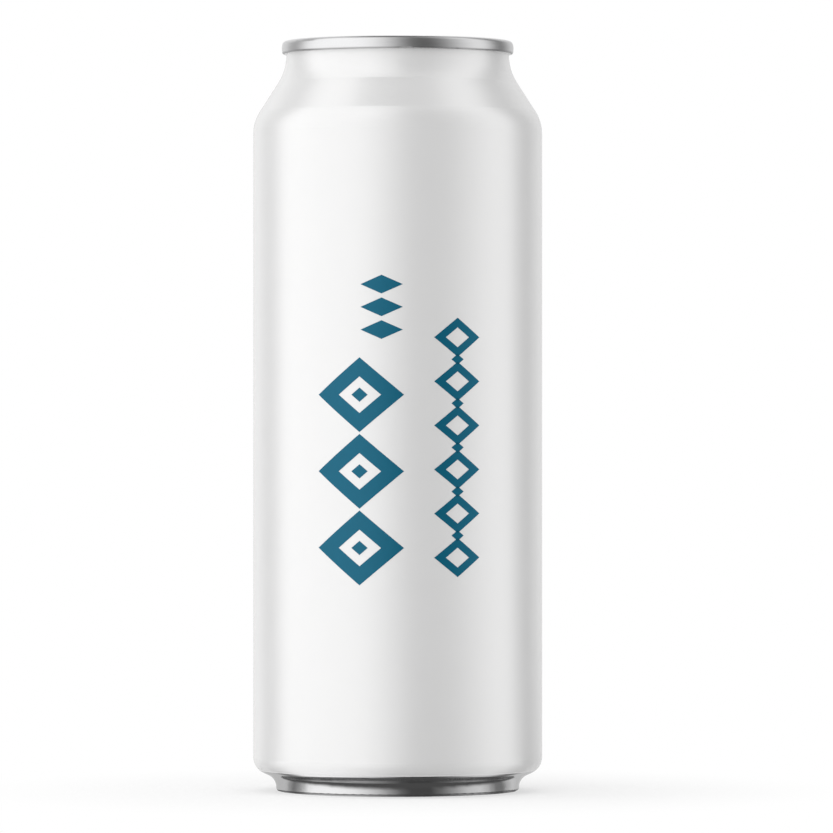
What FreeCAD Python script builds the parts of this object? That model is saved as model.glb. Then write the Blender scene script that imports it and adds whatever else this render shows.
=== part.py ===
"""Shut two-piece drink can of half a litre: drawn body, seamed end and stay-on tab.

Millimetres, +Z up. The origin lies on the axis, in the plane that the foot stands on.
The pour opening lies towards -Y of the axis and the heel of the tab towards +Y.
"""

import FreeCAD, Part
import math
import os

# Overall
HEIGHT = 171.6  # foot to the top of the seam
BODY_RADIUS = 33.1

# Shoulder and neck
NECK_TOP_DROP = 3.0  # from the top of the seam to where the neck runs straight up
NECK_ANGLE = 32.7  # cone of the neck, from the vertical
SHOULDER_BEND = 9.0
NECK_BEND = 12.0

# Chime and foot
FOOT_INSET = 5.3  # wall of the body in to the outside of the foot
FOOT_WIDTH = 2.6  # across the foot, outside to inside
FOOT_OUTER_BEND = 0.7
FOOT_INNER_BEND = 0.7
CHIME_RISE = 2.8  # foot plane to where the cone of the chime would meet the foot's wall
CHIME_ANGLE = 24.6  # cone of the chime, from the horizontal
CHIME_HOLLOW = 3.2
HEEL_BEND = 3.9

# Dome under the can
DOME_HEIGHT = 10.2
DOME_RADIUS = 46.0
DOME_EDGE_ANGLE = 27.0  # slope where the dome meets the leg of the foot
DOME_EDGE_BEND = 1.4
LEG_ANGLE = 14.0  # inner wall of the foot, from the vertical

# Sheet and double seam
BODY_GAUGE = 0.16
END_GAUGE = 0.22
SEAL_GAP = 0.05  # compound between the layers of the seam
SEAM_SLACK = 0.36  # compound between the seam wall and the body hook
SEAM_RADIUS = 26.56
SEAM_HEIGHT = 2.9
SEAM_CROWN = 1.6  # from the top down to the widest ring of the seam
SEAM_TOP_LEAN = 0.22  # how far the seam wall leans in at the top
SEAM_FOOT_LEAN = 0.13
SEAM_INNER_BEND = 0.4
SEAM_OUTER_BEND = 0.95
SEAM_CROWN_BEND = 1.5
CURL_BEND = 0.42
HOOK_HEADROOM = 0.3  # free height over the body hook
HOOK_BEND = 0.3
HOOK_LENGTH = 1.9
COVER_HOOK_LENGTH = 1.75

# Chuck wall, countersink and panel of the end
COUNTERSINK_DEPTH = 6.6  # from the top of the seam
COUNTERSINK_WIDTH = 1.3
COUNTERSINK_BEND = 0.45
CHUCK_ANGLE = 14.0  # from the vertical
CHUCK_TOP_BEND = 1.0
PANEL_RISE = 2.3  # above the countersink
PANEL_BEND = 0.55

# Recess and finger well pressed into the panel
PRESS_ANGLE = 45.0  # side of a pressed step, from the horizontal
PRESS_BEND = 0.35
RECESS_DEPTH = 0.4
RECESS_FRONT_MARGIN = 1.9  # edge of the panel in to the recess
RECESS_BACK_MARGIN = 1.7
RECESS_MOUTH_MARGIN = 5.2  # mouth out to the corners of the recess
RECESS_BACK_HALF = 10.2
RECESS_FRONT_BEND = 14.0
RECESS_BACK_BEND = 11.0
WELL_DEPTH = 0.8
WELL_REACH = 5.6  # heel of the tab in to the near edge of the well
WELL_BACK_MARGIN = 1.3  # edge of the recess in to the well
WELL_HALF = 6.4
WELL_BEND = 3.9

# Pour opening: tear panel, scores and beads
MOUTH_FRONT_MARGIN = 1.4  # edge of the recess in to the score
MOUTH_RIVET_MARGIN = 0.4  # rivet head to the score
MOUTH_HALF_WIDTH = 11.6
SCORE_WIDTH = 0.3
SCORE_DEPTH = 0.11
SCORE_STEP = 0.9  # to the second score, inside the first
HINGE_START = 118.0  # the stretch of the scores left uncut, from +X towards +Y
HINGE_END = 172.0
BEAD_HALF_WIDTH = 0.8
BEAD_HEIGHT = 0.3
MOUTH_BEAD_INSET = 3.1  # from the score in to the bead of the tear panel
MOUTH_BEAD_BEND = 4.2
SIDE_BEAD_INSET = 2.1  # from the edge of the recess in to the bead beside the tab
SIDE_BEAD_NEAR = 4.0
SIDE_BEAD_FAR = 12.5

# Rivet
RIVET_RADIUS = 1.7
RIVET_HEAD_OVERHANG = 1.0
RIVET_HEAD_HEIGHT = 0.45
RIVET_HEAD_BEND = 0.3
RIVET_DIMPLE_RADIUS = 1.2
RIVET_DIMPLE_DEPTH = 0.15
RIVET_CLEARANCE = 0.05

# Tab
TAB_GAUGE = 0.25
TAB_NOSE = 8.4  # rivet to the tip of the nose
TAB_HEEL_MARGIN = 4.0  # edge of the recess in to the heel
TAB_NOSE_HALF = 7.9
TAB_HEEL_HALF = 7.3
TAB_NOSE_BEND = 6.4
TAB_HEEL_BEND = 6.0
TAB_LIFT = 0.3  # underside of the curled rim above the recess
RIM_WIDTH = 1.7
RIM_HEIGHT = 1.4
RIM_BEND = 0.6
WEB_LIFT = 0.65  # underside of the web above the recess
HOLE_NEAR = 6.4
HOLE_HALF = 4.6
HOLE_BEND = 3.2
HOLE_RIM_WIDTH = 1.35
HOLE_RIM_HEIGHT = 1.25
HOLE_RIM_BEND = 0.55
RIM_LAP = 0.35  # how far the curl of the hole runs into the curl of the heel
ISLAND_MARGIN = 0.7  # rivet head to the edge of the island
ISLAND_BEND = 3.2
SLOT_WIDTH = 0.9
HINGE_LINE = 5.9  # rivet to where the island bends up to the web
HINGE_RUN = 1.4
HINGE_BEND = 0.5

# Levels
COUNTERSINK_LEVEL = HEIGHT - COUNTERSINK_DEPTH
PANEL_TOP = COUNTERSINK_LEVEL + PANEL_RISE
RECESS_TOP = PANEL_TOP - RECESS_DEPTH
FILL_TOP = COUNTERSINK_LEVEL - END_GAUGE
SEAM_FOOT = HEIGHT - SEAM_HEIGHT
NECK_TOP = HEIGHT - NECK_TOP_DROP
HOOK_TOP = HEIGHT - END_GAUGE - HOOK_HEADROOM

# Radii of the layers of the seam, from the outside in, and of what follows from them
HOOK_OUTER = SEAM_RADIUS - END_GAUGE - SEAM_SLACK
HOOK_INNER = HOOK_OUTER - BODY_GAUGE
COVER_INNER = HOOK_INNER - SEAL_GAP - END_GAUGE
NECK_RADIUS = COVER_INNER - SEAL_GAP
NECK_INNER = NECK_RADIUS - BODY_GAUGE
CHUCK_RADIUS = NECK_INNER - SEAL_GAP - END_GAUGE
CHUCK_RUN = (COUNTERSINK_DEPTH - NECK_TOP_DROP) * math.tan(math.radians(CHUCK_ANGLE))
COUNTERSINK_OUTER = CHUCK_RADIUS - CHUCK_RUN
PANEL_RADIUS = COUNTERSINK_OUTER - COUNTERSINK_WIDTH

# Places along the Y axis on the panel, measured from the rivet
RIVET_HEAD_RADIUS = RIVET_RADIUS + RIVET_HEAD_OVERHANG
RECESS_FRONT = PANEL_RADIUS - RECESS_FRONT_MARGIN
RECESS_BACK = PANEL_RADIUS - RECESS_BACK_MARGIN
MOUTH_NEAR = RIVET_HEAD_RADIUS + MOUTH_RIVET_MARGIN
MOUTH_HALF_LENGTH = (RECESS_FRONT - MOUTH_FRONT_MARGIN - MOUTH_NEAR) / 2
MOUTH_CENTRE = MOUTH_NEAR + MOUTH_HALF_LENGTH
TAB_HEEL = RECESS_BACK - TAB_HEEL_MARGIN
HOLE_FAR = TAB_HEEL - RIM_WIDTH - HOLE_RIM_WIDTH + RIM_LAP
ISLAND_HALF = RIVET_HEAD_RADIUS + ISLAND_MARGIN

TOUCHING = 1e-6


def tangent(degrees):
    return math.tan(math.radians(degrees))


def in_section(u, v):
    """A point of a section through the axis: u is the radius and v the height."""
    return FreeCAD.Vector(u, 0, v)


def in_side_view(u, v):
    """A point of the plane X = 0: u runs along Y and v is the height."""
    return FreeCAD.Vector(0, u, v)


def at_height(z):
    """Places plan points (u, v) in the level plane at height z."""
    return lambda u, v: FreeCAD.Vector(u, v, z)


def headings(corners, closed):
    """Unit direction of each run from one corner to the next."""
    ends = corners[1:] + corners[:1] if closed else corners[1:]
    found = []
    for (u0, v0, _), (u1, v1, _) in zip(corners, ends):
        length = math.hypot(u1 - u0, v1 - v0)
        found.append(((u1 - u0) / length, (v1 - v0) / length))
    return found


def eased(corners, closed=True):
    """The same path with no bend larger than its two runs have room for."""
    runs = headings(corners, closed)
    count = len(corners)
    reaches = []
    for i, (_, _, bend) in enumerate(corners):
        if not closed and i in (0, count - 1):
            reaches.append(0)
            continue
        before, after = runs[i - 1], runs[i]
        turn = math.acos(max(-1.0, min(1.0, before[0] * after[0] + before[1] * after[1])))
        reaches.append(bend * math.tan(turn / 2))
    shares = [1.0] * count
    for i in range(len(runs)):
        j = (i + 1) % count
        length = math.dist(corners[i][:2], corners[j][:2])
        if reaches[i] + reaches[j] > length:
            share = length / (reaches[i] + reaches[j])
            shares[i] = min(shares[i], share)
            shares[j] = min(shares[j], share)
    return [(u, v, bend * share) for (u, v, bend), share in zip(corners, shares)]


def offset(corners, distance, closed=True):
    """The corners of the path that lies distance to the left of a path, with its bends adjusted."""
    runs = headings(corners, closed)
    moved = []
    for i, (u, v, bend) in enumerate(corners):
        before = runs[i - 1] if closed or i > 0 else runs[0]
        after = runs[i] if closed or i < len(runs) else runs[-1]
        left = (-before[1] - after[1], before[0] + after[0])
        share = distance / (1 + before[0] * after[0] + before[1] * after[1])
        turn = before[0] * after[1] - before[1] * after[0]
        if bend > 0:
            bend -= distance * math.copysign(1, turn)
        moved.append((u + left[0] * share, v + left[1] * share, bend))
    return moved


def rounded_edges(corners, place, closed):
    """Straight edges between corners (u, v, bend), joined by tangent arcs of each corner's bend."""
    corners = eased(corners, closed)
    runs = headings(corners, closed)
    points = []  # one or three points for each corner: a point, or an arc's start, middle and end
    for i, (u, v, bend) in enumerate(corners):
        if bend <= 0 or (not closed and i in (0, len(corners) - 1)):
            points.append([(u, v)])
            continue
        before, after = runs[i - 1], runs[i]
        turn = math.acos(max(-1.0, min(1.0, before[0] * after[0] + before[1] * after[1])))
        reach = bend * math.tan(turn / 2)
        start = (u - before[0] * reach, v - before[1] * reach)
        end = (u + after[0] * reach, v + after[1] * reach)
        inward = (after[0] - before[0], after[1] - before[1])
        size = math.hypot(*inward)
        height = bend / math.cos(turn / 2) - bend
        middle = (u + inward[0] / size * height, v + inward[1] / size * height)
        points.append([start, middle, end])
    edges = []
    for i, corner in enumerate(points):
        if len(corner) == 3:
            edges.append(Part.Arc(*(place(*p) for p in corner)).toShape())
        if closed or i + 1 < len(points):
            start = place(*corner[-1])
            end = place(*points[(i + 1) % len(points)][0])
            if start.distanceToPoint(end) > TOUCHING:
                edges.append(Part.LineSegment(start, end).toShape())
    return edges


def closed_wire(corners, place):
    return Part.Wire(rounded_edges(corners, place, closed=True))


def prism(corners, low, high):
    """Upright solid over a closed plan outline."""
    face = Part.Face(closed_wire(corners, at_height(low)))
    return face.extrude(FreeCAD.Vector(0, 0, high - low))


def strip_face(corners, gauge, place):
    """Face of a formed sheet: a path along one surface, and the other surface gauge to its right."""
    corners = eased(corners, closed=False)
    near = rounded_edges(corners, place, closed=False)
    far = rounded_edges(offset(corners, -gauge, closed=False)[::-1], place, closed=False)
    near_ends = near[0].firstVertex(True).Point, near[-1].lastVertex(True).Point
    far_ends = far[0].firstVertex(True).Point, far[-1].lastVertex(True).Point
    caps = [
        Part.LineSegment(near_ends[1], far_ends[0]).toShape(),
        Part.LineSegment(far_ends[1], near_ends[0]).toShape(),
    ]
    return Part.Face(Part.Wire(near + caps[:1] + far + caps[1:]))


def turned(face):
    """Solid of revolution of a section face about the axis of the can."""
    return face.revolve(FreeCAD.Vector(0, 0, 0), FreeCAD.Vector(0, 0, 1), 360)


def mirrored_outline(near, far, near_half, far_half, near_bend, far_bend):
    """Closed outline, even about the Y axis, from v = near to v = far."""
    return [
        (-near_half, near, near_bend),
        (near_half, near, near_bend),
        (far_half, far, far_bend),
        (-far_half, far, far_bend),
    ]


def body_corners():
    """Outer surface of the body, from the middle of the dome up to the seam."""
    dome_corner = DOME_RADIUS * tangent(DOME_EDGE_ANGLE / 2)
    foot_outer = BODY_RADIUS - FOOT_INSET
    foot_inner = foot_outer - FOOT_WIDTH
    fall, lean = tangent(DOME_EDGE_ANGLE), tangent(LEG_ANGLE)
    leg_top = (DOME_HEIGHT - fall * (foot_inner - dome_corner)) / (1 - fall * lean)
    heel = CHIME_RISE + FOOT_INSET * tangent(CHIME_ANGLE)
    neck_corner = NECK_TOP - NECK_BEND * tangent(NECK_ANGLE / 2)
    shoulder = neck_corner - (BODY_RADIUS - NECK_RADIUS) / tangent(NECK_ANGLE)
    return [
        (0, DOME_HEIGHT, 0),
        (dome_corner, DOME_HEIGHT, DOME_RADIUS),
        (foot_inner - lean * leg_top, leg_top, DOME_EDGE_BEND),
        (foot_inner, 0, FOOT_INNER_BEND),
        (foot_outer, 0, FOOT_OUTER_BEND),
        (foot_outer, CHIME_RISE, CHIME_HOLLOW),
        (BODY_RADIUS, heel, HEEL_BEND),
        (BODY_RADIUS, shoulder, SHOULDER_BEND),
        (NECK_RADIUS, neck_corner, NECK_BEND),
    ]


def can_body():
    """Body and contents in one solid, with the neck wall hooked into the seam."""
    wall_shift = (END_GAUGE + SEAL_GAP) / math.cos(math.radians(CHUCK_ANGLE))
    fill_edge = COUNTERSINK_OUTER + wall_shift - END_GAUGE * tangent(CHUCK_ANGLE)
    kink = FILL_TOP + (NECK_INNER - fill_edge) / tangent(CHUCK_ANGLE)
    inner_bend = HOOK_BEND - BODY_GAUGE
    seamed = [
        (NECK_RADIUS, HOOK_TOP - BODY_GAUGE, inner_bend),
        (HOOK_INNER, HOOK_TOP - BODY_GAUGE, inner_bend),
        (HOOK_INNER, HOOK_TOP - HOOK_LENGTH, 0),
        (HOOK_OUTER, HOOK_TOP - HOOK_LENGTH, 0),
        (HOOK_OUTER, HOOK_TOP, HOOK_BEND),
        (NECK_INNER, HOOK_TOP, HOOK_BEND),
        (NECK_INNER, kink, CHUCK_TOP_BEND),
        (fill_edge, FILL_TOP, 0),
        (0, FILL_TOP, 0),
    ]
    return turned(Part.Face(closed_wire(body_corners() + seamed, in_section)))


def end_corners():
    """Upper surface of the end, from the middle of the panel to the end of the cover hook."""
    return [
        (0, PANEL_TOP, 0),
        (PANEL_RADIUS, PANEL_TOP, PANEL_BEND),
        (PANEL_RADIUS, COUNTERSINK_LEVEL, COUNTERSINK_BEND),
        (COUNTERSINK_OUTER, COUNTERSINK_LEVEL, COUNTERSINK_BEND),
        (CHUCK_RADIUS, NECK_TOP, CHUCK_TOP_BEND),
        (CHUCK_RADIUS, HEIGHT, SEAM_INNER_BEND),
        (SEAM_RADIUS - SEAM_TOP_LEAN, HEIGHT, SEAM_OUTER_BEND),
        (SEAM_RADIUS, HEIGHT - SEAM_CROWN, SEAM_CROWN_BEND),
        (SEAM_RADIUS - SEAM_FOOT_LEAN, SEAM_FOOT, CURL_BEND),
        (COVER_INNER, SEAM_FOOT, CURL_BEND),
        (COVER_INNER, SEAM_FOOT + COVER_HOOK_LENGTH, 0),
    ]


def level_edges(shape, outline, level):
    """Edges of a shape that lie at one level, within the box of a plan outline."""
    reach_u = max(abs(u) for u, _, _ in outline) + TOUCHING
    low_v = min(v for _, v, _ in outline) - TOUCHING
    high_v = max(v for _, v, _ in outline) + TOUCHING
    found = []
    for edge in shape.Edges:
        box = edge.BoundBox
        flat = abs(box.ZMin - level) < TOUCHING and abs(box.ZMax - level) < TOUCHING
        if flat and max(-box.XMin, box.XMax) < reach_u and low_v < box.YMin and box.YMax < high_v:
            found.append(edge)
    return found


def pressed(sheet, outline, top, depth):
    """The sheet with a flat-bottomed step of that outline pressed down from the level top."""
    outline = eased(outline)
    run = depth / tangent(PRESS_ANGLE)
    spread = END_GAUGE * tangent(PRESS_ANGLE / 2)

    def step(inset, level):
        wires = [
            closed_wire(offset(outline, inset), at_height(level)),
            closed_wire(offset(outline, inset + run), at_height(level - depth)),
        ]
        return Part.makeLoft(wires, True, True)

    sheet = sheet.fuse(step(spread - run, top - END_GAUGE)).cut(step(0, top))
    edges = level_edges(sheet, outline, top) + level_edges(sheet, outline, top - depth)
    return sheet.makeFillet(PRESS_BEND, edges)


def bead(path):
    """Round-topped ridge along a plan path, to be fused to the recess."""
    radius = (BEAD_HALF_WIDTH**2 + BEAD_HEIGHT**2) / (2 * BEAD_HEIGHT)
    centre = RECESS_TOP + BEAD_HEIGHT - radius
    wire = Part.Wire(rounded_edges(path, at_height(centre), closed=False))
    start, end = wire.Edges[0].firstVertex(True).Point, wire.Edges[-1].lastVertex(True).Point
    first, second = path[0], path[1]
    along = FreeCAD.Vector(second[0] - first[0], second[1] - first[1], 0)
    section = Part.Wire(Part.Circle(start, along, radius).toShape())
    tube = wire.makePipeShell([section], True, False)
    ridge = tube.fuse([Part.makeSphere(radius, start), Part.makeSphere(radius, end)])
    above = Part.makeBox(4 * PANEL_RADIUS, 4 * PANEL_RADIUS, radius)
    above.translate(FreeCAD.Vector(-2 * PANEL_RADIUS, -2 * PANEL_RADIUS, RECESS_TOP - END_GAUGE / 2))
    return ridge.common(above)


def beads():
    """A horseshoe bead on the tear panel, and a straight one on each side of the tab."""
    half = MOUTH_HALF_WIDTH - MOUTH_BEAD_INSET
    front = MOUTH_CENTRE + MOUTH_HALF_LENGTH - MOUTH_BEAD_INSET
    horseshoe = [
        (-half, -MOUTH_CENTRE, 0),
        (-half, -front, MOUTH_BEAD_BEND),
        (half, -front, MOUTH_BEAD_BEND),
        (half, -MOUTH_CENTRE, 0),
    ]
    ridges = [bead(horseshoe)]
    front_half = MOUTH_HALF_WIDTH + RECESS_MOUTH_MARGIN
    for side in (-1, 1):
        ends = []
        for v in (SIDE_BEAD_NEAR, SIDE_BEAD_FAR):
            share = (v + RECESS_FRONT) / (RECESS_BACK + RECESS_FRONT)
            edge = front_half + (RECESS_BACK_HALF - front_half) * share
            ends.append((side * (edge - SIDE_BEAD_INSET), v, 0))
        ridges.append(bead(ends))
    return ridges


def mouth_ellipse(inset, z):
    """Closed wire of the tear panel's outline, moved in by inset."""
    centre = FreeCAD.Vector(0, -MOUTH_CENTRE, z)
    ellipse = Part.Ellipse(centre, MOUTH_HALF_WIDTH - inset, MOUTH_HALF_LENGTH - inset)
    return Part.Wire(ellipse.toShape())


def scores():
    """Cutters of the two score lines, which stop short at the hinge of the tear panel."""
    floor = RECESS_TOP - SCORE_DEPTH
    up = FreeCAD.Vector(0, 0, 2 * SCORE_DEPTH)
    centre = FreeCAD.Vector(0, -MOUTH_CENTRE, floor)
    reach = 2 * MOUTH_HALF_WIDTH
    sector = [centre]
    for angle in (HINGE_START, HINGE_END):
        turn = math.radians(angle)
        sector.append(centre + FreeCAD.Vector(reach * math.cos(turn), reach * math.sin(turn), 0))
    hinge = Part.Face(Part.makePolygon(sector + [centre])).extrude(up)
    cutters = []
    for inset in (0, SCORE_STEP):
        outside = Part.Face(mouth_ellipse(inset - SCORE_WIDTH / 2, floor)).extrude(up)
        inside = Part.Face(mouth_ellipse(inset + SCORE_WIDTH / 2, floor)).extrude(up)
        cutters.append(outside.cut(inside).cut(hinge))
    return cutters


def rivet():
    """Rivet drawn up from the panel, with the head that holds the tab."""
    foot = RECESS_TOP - END_GAUGE
    head_low = RECESS_TOP + TAB_GAUGE + RIVET_CLEARANCE
    head_top = head_low + RIVET_HEAD_HEIGHT
    section = [
        (0, foot, 0),
        (RIVET_RADIUS, foot, 0),
        (RIVET_RADIUS, head_low, 0),
        (RIVET_HEAD_RADIUS, head_low, 0),
        (RIVET_HEAD_RADIUS, head_top, RIVET_HEAD_BEND),
        (RIVET_DIMPLE_RADIUS, head_top, RIVET_HEAD_BEND),
        (RIVET_DIMPLE_RADIUS - RIVET_DIMPLE_DEPTH, head_top - RIVET_DIMPLE_DEPTH, RIVET_HEAD_BEND),
        (0, head_top - RIVET_DIMPLE_DEPTH, 0),
    ]
    return turned(Part.Face(closed_wire(section, in_section)))


def can_end():
    """End of one sheet: seam, countersink, panel with its relief, and the rivet drawn from it."""
    end = turned(strip_face(end_corners(), END_GAUGE, in_section))
    recess = mirrored_outline(
        -RECESS_FRONT, RECESS_BACK, MOUTH_HALF_WIDTH + RECESS_MOUTH_MARGIN, RECESS_BACK_HALF,
        RECESS_FRONT_BEND, RECESS_BACK_BEND,
    )
    well = mirrored_outline(
        TAB_HEEL - WELL_REACH, RECESS_BACK - WELL_BACK_MARGIN, WELL_HALF, WELL_HALF, WELL_BEND, WELL_BEND
    )
    end = pressed(end, recess, PANEL_TOP, RECESS_DEPTH)
    end = pressed(end, well, RECESS_TOP, WELL_DEPTH)
    end = end.fuse(beads() + [rivet()])
    return end.cut(scores()).removeSplitter()


def curled_ring(outline, width, low, height, bend):
    """Ring of curled sheet inside a plan outline: an upright band with round edges."""
    ring = prism(outline, low, low + height).cut(prism(offset(outline, width), low, low + height))
    level = [e for e in ring.Edges if abs(e.BoundBox.ZMax - e.BoundBox.ZMin) < TOUCHING]
    return ring.makeFillet(bend, level)


def pull_tab():
    """Stay-on tab: curled rim, web, finger hole with its own curl, and the island that the rivet holds."""
    rim_low = RECESS_TOP + TAB_LIFT
    web_low = RECESS_TOP + WEB_LIFT
    web_top = web_low + TAB_GAUGE
    outline = eased(
        mirrored_outline(-TAB_NOSE, TAB_HEEL, TAB_NOSE_HALF, TAB_HEEL_HALF, TAB_NOSE_BEND, TAB_HEEL_BEND)
    )
    hole = eased(mirrored_outline(HOLE_NEAR, HOLE_FAR, HOLE_HALF, HOLE_HALF, HOLE_BEND, HOLE_BEND))
    slot_half = ISLAND_HALF + SLOT_WIDTH
    slot = mirrored_outline(
        -HINGE_LINE, slot_half, slot_half, slot_half, SLOT_WIDTH, ISLAND_BEND + SLOT_WIDTH
    )
    web = prism(offset(outline, RIM_WIDTH / 2), web_low, web_top)
    web = web.cut([prism(hole, web_low, web_top), prism(slot, web_low, web_top)])
    rim = curled_ring(outline, RIM_WIDTH, rim_low, RIM_HEIGHT, RIM_BEND)
    hole_curl = curled_ring(
        offset(hole, -HOLE_RIM_WIDTH), HOLE_RIM_WIDTH, rim_low, HOLE_RIM_HEIGHT, HOLE_RIM_BEND
    )
    island_top = RECESS_TOP + TAB_GAUGE
    island_side = [
        (-HINGE_LINE - RIM_WIDTH / 2, web_top, 0),
        (-HINGE_LINE, web_top, HINGE_BEND),
        (-HINGE_LINE + HINGE_RUN, island_top, HINGE_BEND),
        (ISLAND_HALF, island_top, 0),
    ]
    island = strip_face(island_side, TAB_GAUGE, in_side_view)
    island = island.extrude(FreeCAD.Vector(2 * ISLAND_HALF, 0, 0))
    island.translate(FreeCAD.Vector(-ISLAND_HALF, 0, 0))
    island_plan = mirrored_outline(-TAB_NOSE, ISLAND_HALF, ISLAND_HALF, ISLAND_HALF, 0, ISLAND_BEND)
    island = island.common(prism(island_plan, RECESS_TOP, web_top))
    rivet_hole = Part.makeCylinder(
        RIVET_RADIUS + RIVET_CLEARANCE, TAB_GAUGE, FreeCAD.Vector(0, 0, RECESS_TOP)
    )
    return web.fuse([rim, hole_curl, island]).cut(rivet_hole).removeSplitter()


def write(name, shape):
    solids = shape.Solids
    sound = shape.isValid() and len(solids) == 1
    print(name, "volume %.2f" % shape.Volume, "solids", len(solids), "ok" if sound else "NOT SOUND")
    solids[0].exportStep(os.path.join("parts", name + ".step"))


os.makedirs("parts", exist_ok=True)
write("can_body", can_body())
write("can_end", can_end())
write("pull_tab", pull_tab())
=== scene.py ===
"""Looks of a shut half-litre drink can: coated body with a printed pattern, bare end and tab."""

import math

import bpy
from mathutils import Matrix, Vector


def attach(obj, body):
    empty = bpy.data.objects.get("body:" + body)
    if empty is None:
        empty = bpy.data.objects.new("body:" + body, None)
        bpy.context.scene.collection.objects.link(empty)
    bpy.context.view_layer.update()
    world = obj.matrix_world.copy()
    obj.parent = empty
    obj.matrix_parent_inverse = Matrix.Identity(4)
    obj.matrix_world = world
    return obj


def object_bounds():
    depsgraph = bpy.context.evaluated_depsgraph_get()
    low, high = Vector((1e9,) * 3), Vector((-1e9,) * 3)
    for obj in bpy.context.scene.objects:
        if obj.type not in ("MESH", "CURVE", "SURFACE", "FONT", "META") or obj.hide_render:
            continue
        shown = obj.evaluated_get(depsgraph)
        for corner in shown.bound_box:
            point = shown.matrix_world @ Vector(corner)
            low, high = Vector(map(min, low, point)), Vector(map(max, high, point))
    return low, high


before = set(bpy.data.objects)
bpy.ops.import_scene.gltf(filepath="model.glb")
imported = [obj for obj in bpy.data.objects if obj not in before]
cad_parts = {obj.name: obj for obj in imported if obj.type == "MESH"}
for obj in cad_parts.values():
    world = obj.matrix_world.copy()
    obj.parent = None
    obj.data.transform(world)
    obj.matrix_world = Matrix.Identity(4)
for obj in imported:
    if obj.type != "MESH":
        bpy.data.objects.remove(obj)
cad_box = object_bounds()

MM = 0.001
WHITE = (1, 1, 1, 1)

# Sizes read from the frame
LOW, HIGH = cad_box
HEIGHT = HIGH.z - LOW.z
BODY_RADIUS = (HIGH.x - LOW.x) / 2

# Places on the can
FOOT_RADIUS = BODY_RADIUS - 5.3 * MM
DOME_RADIUS = BODY_RADIUS - 8.5 * MM  # what lies nearer the axis is bare
PAINT_EDGE = 4.88 * MM  # height on the chime where the coating ends
PAINT_WANDER = 0.08 * MM  # how far that edge strays
BASE_COAT_LIP = 0.22 * MM  # plain white base coat below the end of the pearl coat
SEAM_INSIDE = BODY_RADIUS - 7.2 * MM  # the seam's outer layer lies outside this radius
HEM = HEIGHT - 2.8 * MM  # the seam's lower edge, where it turns in; painted shade of the gap under it is darkest below this height
HEM_FADE = 0.4 * MM

# Colours, and the share of each that is left where its pattern is darkest
PAINT_COLOUR = (0.94, 0.938, 0.937)
METAL_COLOUR = (0.9, 0.9, 0.905)
INK_COLOUR = (0.0015, 0.14, 0.235)
PAINT_DARKEST = 0.985
BASE_DARKEST = 0.93
SHEET_DARKEST = 0.9
INK_DARKEST = 0.9
END_SHADE = 1.05
TAB_SHADE = 0.96
# painted shade: share of the end's colour left in the gap under the seam's lower edge
SEAM_GAP_SHADE = 0.45

# Surfaces. Each range of roughness keeps clear of 0.27, because the render's noise filter draws
# outlines where a surface crosses it.
PAINT_ROUGHNESS = (0.2, 0.25)
BASE_ROUGHNESS = (0.1, 0.18)
SHEET_ROUGHNESS = (0.28, 0.31)
CLOUD_ROUGHNESS = (0.0, 0.01)  # added to the sheet's in broad patches
INK_ROUGHNESS = (0.2, 0.26)
PAINT_METALLIC = 0.27
BASE_COAT_METALLIC = 0.05
INK_METALLIC = 0.24
INK_SPECULAR = 0.4
BODY_RELIEF = (0.12, 0.02 * MM)  # strength and depth
SHEET_RELIEF = (0.2, 0.01 * MM)

# Scales of the patterns, for coordinates in metres
WANDER_SCALE = 900.0
MOTTLE_SCALE = 160.0
PEEL_SCALE = 420.0
CLOUD_SCALE = 90.0
INK_SCALE = 700.0
DRAW_LINE_SCALE = (60.0, 1.0, 5200.0)  # long round the body, fine up it
GRAIN_SCALE = (150.0, 6000.0, 6000.0)  # long along X
PLAIN_DETAIL, FINE_DETAIL = 2.0, 3.0

# Print: places of each column, and half widths and half heights of its lozenges
INK_LIFT = 0.03 * MM
LARGE_AZIMUTH, MARK_AZIMUTH, SMALL_AZIMUTH = -15.0, -6.3, 24.0
LARGE_COUNT, MARK_COUNT, SMALL_COUNT = 3, 3, 6
LARGE_LOWEST, MARK_LOWEST, SMALL_LOWEST = 56.2 * MM, 105.2 * MM, 54.0 * MM
LARGE_PITCH, MARK_PITCH, SMALL_PITCH = 17.2 * MM, 5.1 * MM, 9.9 * MM
LARGE_HALVES = (10.1 * MM, 8.4 * MM)
CENTRE_HALVES = (1.9 * MM, 1.6 * MM)
MARK_HALVES = (4.8 * MM, 2.1 * MM)
SMALL_HALVES = (5.6 * MM, 4.4 * MM)
STUD_HALVES = (1.5 * MM, 1.2 * MM)
LARGE_STROKE = 3.3 * MM
SMALL_STROKE = 1.7 * MM
PRINT_STEPS = 128  # points round a lozenge
PRINT_RINGS = 8  # strips from its outline in

# Light and background
AMBIENT = 0.82
CEILING = 0.05  # tone of the background overhead
CEILING_EDGE = (0.75, 0.96)  # upward share of a direction where it starts to darken, and is darkest
LAMP_WATTS = 4.0  # from each square metre of an area lamp, for a radiance of 1
SOFTBOXES = (  # name, azimuth, elevation, distance, size, radiance
    ("softbox_left", -92.0, 15.0, 1.7, (1.2, 1.6), 0.8),
    ("softbox_front", -22.0, 45.0, 1.7, (1.0, 1.0), 0.6),
)

# Floor
FLOOR_HALF = 60.0
FLOOR_FADE = (0.03, 0.11)  # distances from the origin between which it turns to plain white
FLOOR_WHITE_AT_CAN = 0.5  # share of plain white nearer than that
PAPER = (0.97, 0.97, 0.97, 1)

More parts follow.
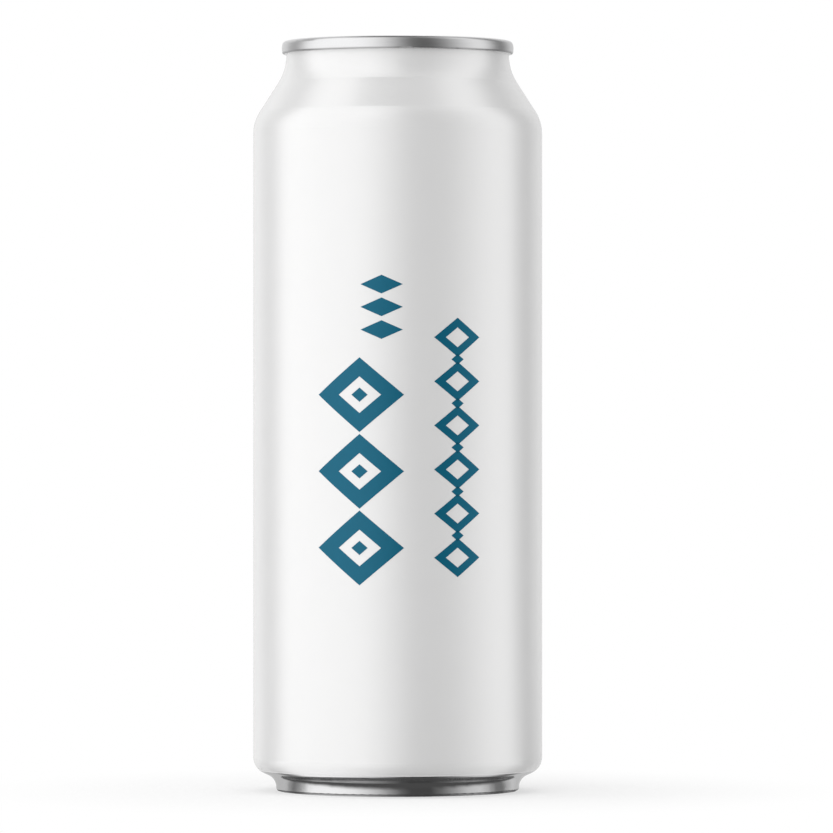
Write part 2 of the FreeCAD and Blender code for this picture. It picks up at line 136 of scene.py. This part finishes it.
# Card that the metal mirrors
CARD_FLOOR = 0.1 * MM  # height of the part that lies on the floor
CARD_DISTANCE = 0.9
CARD_ROWS = (  # distance from the foot, height, share of the tone near the foot, gain, lift
    # the first four rows, by the foot, are painted shade: a near-black band that the metal mirrors
    # in place of the floor's contact shadow
    (-3.0 * MM, CARD_FLOOR, 1.0, 0.1, 0.02),
    (0.2 * MM, CARD_FLOOR, 1.0, 0.4, 0.03),
    (0.6 * MM, CARD_FLOOR, 1.0, 0.0, 0.07),
    (1.6 * MM, CARD_FLOOR, 1.0, 0.0, 0.07),
    (2.4 * MM, CARD_FLOOR, 1.0, 1.0, 0.0),
    (10.0 * MM, CARD_FLOOR, 1.0, 1.0, 0.0),
    (30.0 * MM, CARD_FLOOR, 0.0, 1.0, 0.0),
    (CARD_DISTANCE, CARD_FLOOR, 0.0, 1.0, 0.0),
    (CARD_DISTANCE, 1.0, 0.0, 1.0, 0.0),
    (CARD_DISTANCE, 1.9, 0.0, 0.7, 0.27),
)
# Both tones of a stop are matched to the photo. The floor's started from levels read along the
# photo's foot, which were turned into azimuths and tones.
CARD_STOPS = (  # azimuth, tone of the card, tone of the floor near the foot
    (-180, 0.75, 0.5), (-150, 0.74, 0.5), (-138, 0.52, 0.52), (-131, 0.36, 0.48),
    (-127, 0.27, 0.33), (-117, 0.28, 0.18), (-109, 0.6, 0.28), (-101, 0.95, 0.48),
    (-94, 1.0, 0.84), (-86, 1.0, 0.97), (-65, 1.0, 1.0), (-50, 1.0, 0.95),
    (-42, 1.0, 0.89), (-31, 0.97, 0.75), (-20, 0.82, 0.56), (-8, 0.56, 0.32),
    (4, 0.24, 0.12), (13, 0.06, 0.06), (31, 0.04, 0.06), (42, 0.14, 0.15),
    (55, 0.38, 0.32), (70, 0.66, 0.56), (84, 0.84, 0.64), (95, 0.84, 0.48),
    (100, 0.76, 0.34), (108, 0.4, 0.18), (118, 0.1, 0.17), (128, 0.12, 0.42),
    (140, 0.45, 0.58), (155, 0.68, 0.5), (180, 0.75, 0.5),
)

# Camera
LENS = 291.0
SENSOR = 36.0
SHIFT_X = 0.0226
CAMERA_DISTANCE = 1.543
CAMERA_HEIGHT = 0.0857
CLIP_END = 20.0


class Nodes:
    """Short ways to add and link shader nodes."""

    def __init__(self, owner):
        owner.use_nodes = True
        self.tree = owner.node_tree
        self.tree.nodes.clear()

    def put(self, value, socket):
        if isinstance(value, bpy.types.NodeSocket):
            self.tree.links.new(value, socket)
        else:
            socket.default_value = value

    def add(self, kind, inputs=None, **settings):
        node = self.tree.nodes.new(kind)
        for name, value in settings.items():
            setattr(node, name, value)
        for name, value in (inputs or {}).items():
            self.put(value, node.inputs[name])
        return node

    def output(self, kind, surface):
        self.add(kind, {"Surface": surface})

    def principled(self, inputs):
        shader = self.add("ShaderNodeBsdfPrincipled", inputs)
        self.output("ShaderNodeOutputMaterial", shader.outputs["BSDF"])

    def math(self, operation, *values, clamp=False):
        node = self.add("ShaderNodeMath", operation=operation, use_clamp=clamp)
        for socket, value in zip(node.inputs, values):
            self.put(value, socket)
        return node.outputs[0]

    def mix(self, share, low, high, kind="RGBA"):
        """Colours, or numbers with kind FLOAT, mixed from low to high by share."""
        node = self.add("ShaderNodeMix", data_type=kind)
        sockets = {socket.name: socket for socket in node.inputs if socket.enabled}
        for name, value in (("Factor", share), ("A", low), ("B", high)):
            self.put(value, sockets[name])
        return next(socket for socket in node.outputs if socket.enabled)

    def blend(self, value, low, high, start=0.0, end=1.0, curve="LINEAR"):
        """A number that runs from low to high as value runs from start to end."""
        ranges = {"From Min": start, "From Max": end, "To Min": low, "To Max": high}
        node = self.add("ShaderNodeMapRange", {"Value": value, **ranges}, interpolation_type=curve)
        return node.outputs["Result"]

    def position(self):
        return self.add("ShaderNodeTexCoord").outputs["Object"]

    def apart(self, vector):
        return self.add("ShaderNodeSeparateXYZ", {"Vector": vector}).outputs

    def length(self, vector):
        return self.add("ShaderNodeVectorMath", {0: vector}, operation="LENGTH").outputs["Value"]

    def stretched(self, vector, scale):
        return self.add("ShaderNodeMapping", {"Vector": vector, "Scale": scale}).outputs["Vector"]

    def noise(self, vector, scale, detail=PLAIN_DETAIL):
        inputs = {"Vector": vector, "Scale": scale, "Detail": detail}
        return self.add("ShaderNodeTexNoise", inputs).outputs["Fac"]

    def bump(self, height, strength, depth):
        inputs = {"Height": height, "Strength": strength, "Distance": depth}
        return self.add("ShaderNodeBump", inputs).outputs["Normal"]


def new_material(name):
    material = bpy.data.materials.new(name)
    return material, Nodes(material)


def new_item(name, data):
    item = bpy.data.objects.new(name, data)
    bpy.context.collection.objects.link(item)
    return item


def new_surface(name, verts, faces, material):
    mesh = bpy.data.meshes.new(name)
    mesh.from_pydata(verts, [], faces)
    mesh.materials.append(material)
    return new_item(name, mesh)


# Materials


def tint(colour, share=1.0):
    return (*(c * share for c in colour), 1)


def outside_radius(nodes, position, radius):
    """1 farther than radius from the can's axis, and 0 nearer."""
    flat = nodes.stretched(position, (1.0, 1.0, 0.0))
    return nodes.math("GREATER_THAN", nodes.length(flat), radius)


def unrolled(nodes, parts):
    """Vector of (way round at the body's radius, 0, height), in metres, of a position's parts."""
    turn = nodes.math("ARCTAN2", parts["X"], parts["Y"])
    way_round = nodes.math("MULTIPLY", turn, BODY_RADIUS)
    return nodes.add("ShaderNodeCombineXYZ", {"X": way_round, "Z": parts["Z"]}).outputs["Vector"]


def body_material():
    """Satin white coating down to the chime, and bare drawn aluminium below it and in the dome."""
    material, nodes = new_material("coated_aluminium")
    position = nodes.position()
    wander = nodes.math("MULTIPLY", nodes.noise(position, WANDER_SCALE), PAINT_WANDER)
    parts = nodes.apart(position)
    height = nodes.math("ADD", parts["Z"], wander)
    height = nodes.math("MULTIPLY", height, outside_radius(nodes, position, DOME_RADIUS))
    painted = nodes.math("GREATER_THAN", height, PAINT_EDGE)
    pearled = nodes.math("GREATER_THAN", height, PAINT_EDGE + BASE_COAT_LIP)
    mottle = nodes.noise(position, MOTTLE_SCALE, FINE_DETAIL)
    peel = nodes.noise(position, PEEL_SCALE)
    draw_lines = nodes.noise(nodes.stretched(unrolled(nodes, parts), DRAW_LINE_SCALE), 1.0)
    paint = nodes.mix(mottle, tint(PAINT_COLOUR, PAINT_DARKEST), tint(PAINT_COLOUR))
    metal = nodes.mix(draw_lines, tint(METAL_COLOUR, BASE_DARKEST), tint(METAL_COLOUR))
    paint_roughness = nodes.blend(mottle, *PAINT_ROUGHNESS)
    base_roughness = nodes.blend(draw_lines, *BASE_ROUGHNESS)
    unpearled = nodes.mix(painted, 1.0, BASE_COAT_METALLIC, "FLOAT")
    nodes.principled(
        {
            "Base Color": nodes.mix(painted, metal, paint),
            "Metallic": nodes.mix(pearled, unpearled, PAINT_METALLIC, "FLOAT"),
            "Roughness": nodes.mix(painted, base_roughness, paint_roughness, "FLOAT"),
            "Normal": nodes.bump(nodes.mix(painted, draw_lines, peel, "FLOAT"), *BODY_RELIEF),
        }
    )
    return material


def sheet_material(name, shade, gap_shade=1.0):
    """Rolled aluminium sheet with grain along X; on the seam's lower edge its colour is times the
    share given, as painted gap shade.
    """
    material, nodes = new_material(name)
    position = nodes.position()
    grain = nodes.noise(nodes.stretched(position, GRAIN_SCALE), 1.0, FINE_DETAIL)
    cloud = nodes.noise(position, CLOUD_SCALE)
    # painted shade in the gap under the seam's lower edge, on the seam's outer layer only
    low = nodes.blend(nodes.apart(position)["Z"], 1.0, 0.0, HEM, HEM + HEM_FADE)
    gap_shade_mask = nodes.math("MULTIPLY", low, outside_radius(nodes, position, SEAM_INSIDE))
    darkest, brightest = tint(METAL_COLOUR, shade * SHEET_DARKEST), tint(METAL_COLOUR, shade)
    grained = nodes.mix(grain, darkest, brightest)
    fine, broad = nodes.blend(grain, *SHEET_ROUGHNESS), nodes.blend(cloud, *CLOUD_ROUGHNESS)
    nodes.principled(
        {
            "Base Color": nodes.mix(gap_shade_mask, grained, tint(METAL_COLOUR, shade * gap_shade)),
            "Metallic": 1.0,
            "Roughness": nodes.math("ADD", fine, broad),
            "Normal": nodes.bump(grain, *SHEET_RELIEF),
        }
    )
    return material


def ink_material():
    """Teal ink, slightly uneven."""
    material, nodes = new_material("teal_ink")
    mottle = nodes.noise(nodes.position(), INK_SCALE, FINE_DETAIL)
    nodes.principled(
        {
            "Base Color": nodes.mix(mottle, tint(INK_COLOUR, INK_DARKEST), tint(INK_COLOUR)),
            "Metallic": INK_METALLIC,
            "Specular IOR Level": INK_SPECULAR,
            "Roughness": nodes.blend(mottle, *INK_ROUGHNESS),
        }
    )
    return material


def finish_nodes():
    """Gives each piece that comes from the frame its finish."""
    finishes = {
        "can_body": body_material(),
        "can_end": sheet_material("end_aluminium", END_SHADE, SEAM_GAP_SHADE),
        "pull_tab": sheet_material("tab_aluminium", TAB_SHADE),
    }
    for name, material in finishes.items():
        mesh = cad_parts[name].data
        mesh.materials.clear()
        mesh.materials.append(material)


# Print


def lozenge_point(step, half_wide, half_high):
    """Point of a lozenge's outline, with the steps closest together at its corners."""
    turn = math.tau * (step + 0.5) / PRINT_STEPS
    c, s = math.cos(turn), math.sin(turn)
    return half_wide * math.copysign(c**2, c), half_high * math.copysign(s**2, s)


def lozenge(name, azimuth, height, halves, ink, stroke=None):
    """Ink on the body's wall: an open lozenge of even stroke, or a solid one without a stroke."""
    half_wide, half_high = halves
    across_side = half_wide * half_high / math.hypot(half_wide, half_high)  # from its middle
    inner_share = 1 - stroke / across_side if stroke else 0
    radius = BODY_RADIUS + INK_LIFT
    verts, faces = [], []
    for ring in range(PRINT_RINGS + 1):
        share = 1 + (inner_share - 1) * ring / PRINT_RINGS
        for step in range(PRINT_STEPS):
            across, up = lozenge_point(step, half_wide * share, half_high * share)
            turn = math.radians(azimuth) + across / radius
            verts.append((radius * math.sin(turn), -radius * math.cos(turn), height + up))
    for ring in range(PRINT_RINGS):
        for step in range(PRINT_STEPS):
            a, b = ring * PRINT_STEPS + step, ring * PRINT_STEPS + (step + 1) % PRINT_STEPS
            faces.append((a, b, b + PRINT_STEPS, a + PRINT_STEPS))
    piece = new_surface(name, verts, faces, ink)
    piece.data.polygons.foreach_set("use_smooth", [True] * len(faces))
    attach(piece, "root")


def print_pattern():
    """Large lozenges with marks over them, and a column of small lozenges with studs between."""
    ink = ink_material()
    for i in range(LARGE_COUNT):
        middle = LARGE_LOWEST + LARGE_PITCH * i
        lozenge("print_large_%d" % i, LARGE_AZIMUTH, middle, LARGE_HALVES, ink, LARGE_STROKE)
        lozenge("print_centre_%d" % i, LARGE_AZIMUTH, middle, CENTRE_HALVES, ink)
    for i in range(MARK_COUNT):
        lozenge("print_mark_%d" % i, MARK_AZIMUTH, MARK_LOWEST + MARK_PITCH * i, MARK_HALVES, ink)
    for i in range(SMALL_COUNT):
        middle = SMALL_LOWEST + SMALL_PITCH * i
        lozenge("print_small_%d" % i, SMALL_AZIMUTH, middle, SMALL_HALVES, ink, SMALL_STROKE)
        if i < SMALL_COUNT - 1:
            between = middle + SMALL_PITCH / 2
            lozenge("print_stud_%d" % i, SMALL_AZIMUTH, between, STUD_HALVES, ink)


# Studio


def seen_share(nodes):
    """1 for what the camera sees or a surface mirrors or lets through, and 0 for plain light."""
    path = nodes.add("ShaderNodeLightPath").outputs
    shown = nodes.math("ADD", path["Is Camera Ray"], path["Is Glossy Ray"], clamp=True)
    return nodes.math("ADD", shown, path["Is Transmission Ray"], clamp=True)


def studio_world():
    """Soft even light, with a white background that turns grey overhead."""
    world = bpy.data.worlds.new("studio")
    bpy.context.scene.world = world
    nodes = Nodes(world)
    up = nodes.apart(nodes.add("ShaderNodeTexCoord").outputs["Generated"])["Z"]
    ceiling = nodes.blend(up, 1.0, CEILING, *CEILING_EDGE, "SMOOTHSTEP")
    seen = nodes.add("ShaderNodeBackground", {"Strength": ceiling, "Color": WHITE})
    light = nodes.add("ShaderNodeBackground", {"Strength": AMBIENT, "Color": WHITE})
    inputs = {0: seen_share(nodes), 1: light.outputs[0], 2: seen.outputs[0]}
    nodes.output("ShaderNodeOutputWorld", nodes.add("ShaderNodeMixShader", inputs).outputs[0])


def studio_floor():
    """Pale floor that keeps the can's shadow and fades into the white background."""
    material, nodes = new_material("floor_white")
    away = nodes.length(nodes.position())
    plain = nodes.blend(away, FLOOR_WHITE_AT_CAN, 1.0, *FLOOR_FADE, "SMOOTHSTEP")
    share = nodes.math("MULTIPLY", seen_share(nodes), plain)
    paper = nodes.add("ShaderNodeBsdfDiffuse", {"Color": PAPER})
    glow = nodes.add("ShaderNodeEmission", {"Color": WHITE, "Strength": 1.0})
    inputs = {0: share, 1: paper.outputs[0], 2: glow.outputs[0]}
    nodes.output("ShaderNodeOutputMaterial", nodes.add("ShaderNodeMixShader", inputs).outputs[0])
    half = FLOOR_HALF
    corners = [(-half, -half, 0), (half, -half, 0), (half, half, 0), (-half, half, 0)]
    floor = new_surface("floor", corners, [(0, 1, 2, 3)], material)


def heading(azimuth, elevation=0.0):
    """Direction seen from the can: azimuth 0 is the camera's side, and + its right."""
    a, e = math.radians(azimuth), math.radians(elevation)
    return Vector((math.sin(a) * math.cos(e), -math.cos(a) * math.cos(e), math.sin(e)))


def softbox(name, azimuth, elevation, distance, size, radiance):
    """Area lamp that looks at the middle of the can, and that the metal doesn't mirror."""
    away = heading(azimuth, elevation)
    lamp = bpy.data.lights.new(name, "AREA")
    lamp.shape = "RECTANGLE"
    lamp.size, lamp.size_y = size
    lamp.energy = radiance * LAMP_WATTS * size[0] * size[1]
    item = new_item(name, lamp)
    item.location = Vector((0, 0, HEIGHT / 2)) + away * distance
    item.rotation_euler = away.to_track_quat("Z", "Y").to_euler()
    item.visible_glossy = False


def card(name, stops):
    """Curved grey card that the metal mirrors, from the floor at the can's foot to well overhead.

    On the floor it follows the way that the foot mirrors it to the front. A narrow band of it by
    the foot is near black, as painted shade that the metal mirrors in place of the floor's contact
    shadow, and it is milder overhead.
    """
    verts, faces, tones = [], [], []
    for azimuth, far, near in stops:
        foot, away = heading(azimuth / 2) * FOOT_RADIUS, heading(azimuth)
        for distance, height, share, gain, lift in CARD_ROWS:
            verts.append(foot + away * distance + Vector((0, 0, height)))
            tones.append((far + (near - far) * share) * gain + lift)
    wide = len(CARD_ROWS)
    for i in range(len(stops) - 1):
        for j in range(wide - 1):
            k = i * wide + j
            faces.append((k, k + wide, k + wide + 1, k + 1))
    material, nodes = new_material(name)
    tone = nodes.add("ShaderNodeAttribute", attribute_name="tone").outputs["Fac"]
    surface = nodes.add("ShaderNodeEmission", {"Strength": tone, "Color": WHITE})
    nodes.output("ShaderNodeOutputMaterial", surface.outputs[0])
    item = new_surface(name, verts, faces, material)
    item.data.attributes.new("tone", "FLOAT", "POINT").data.foreach_set("value", tones)
    item.visible_camera = item.visible_diffuse = item.visible_shadow = False


def studio_camera():
    """Long lens, level with the middle of the can."""
    data = bpy.data.cameras.new("camera")
    data.sensor_width = SENSOR
    data.lens = LENS
    data.shift_x = SHIFT_X
    data.clip_end = CLIP_END
    item = new_item("camera", data)
    item.location = (0, -CAMERA_DISTANCE, CAMERA_HEIGHT)
    item.rotation_euler = (math.radians(90), 0, 0)
    bpy.context.scene.camera = item


def studio():
    studio_world()
    studio_floor()
    for settings in SOFTBOXES:
        softbox(*settings)
    card("cards", CARD_STOPS)
    studio_camera()
    bpy.context.scene.view_settings.view_transform = "Standard"


finish_nodes()
print_pattern()
studio()
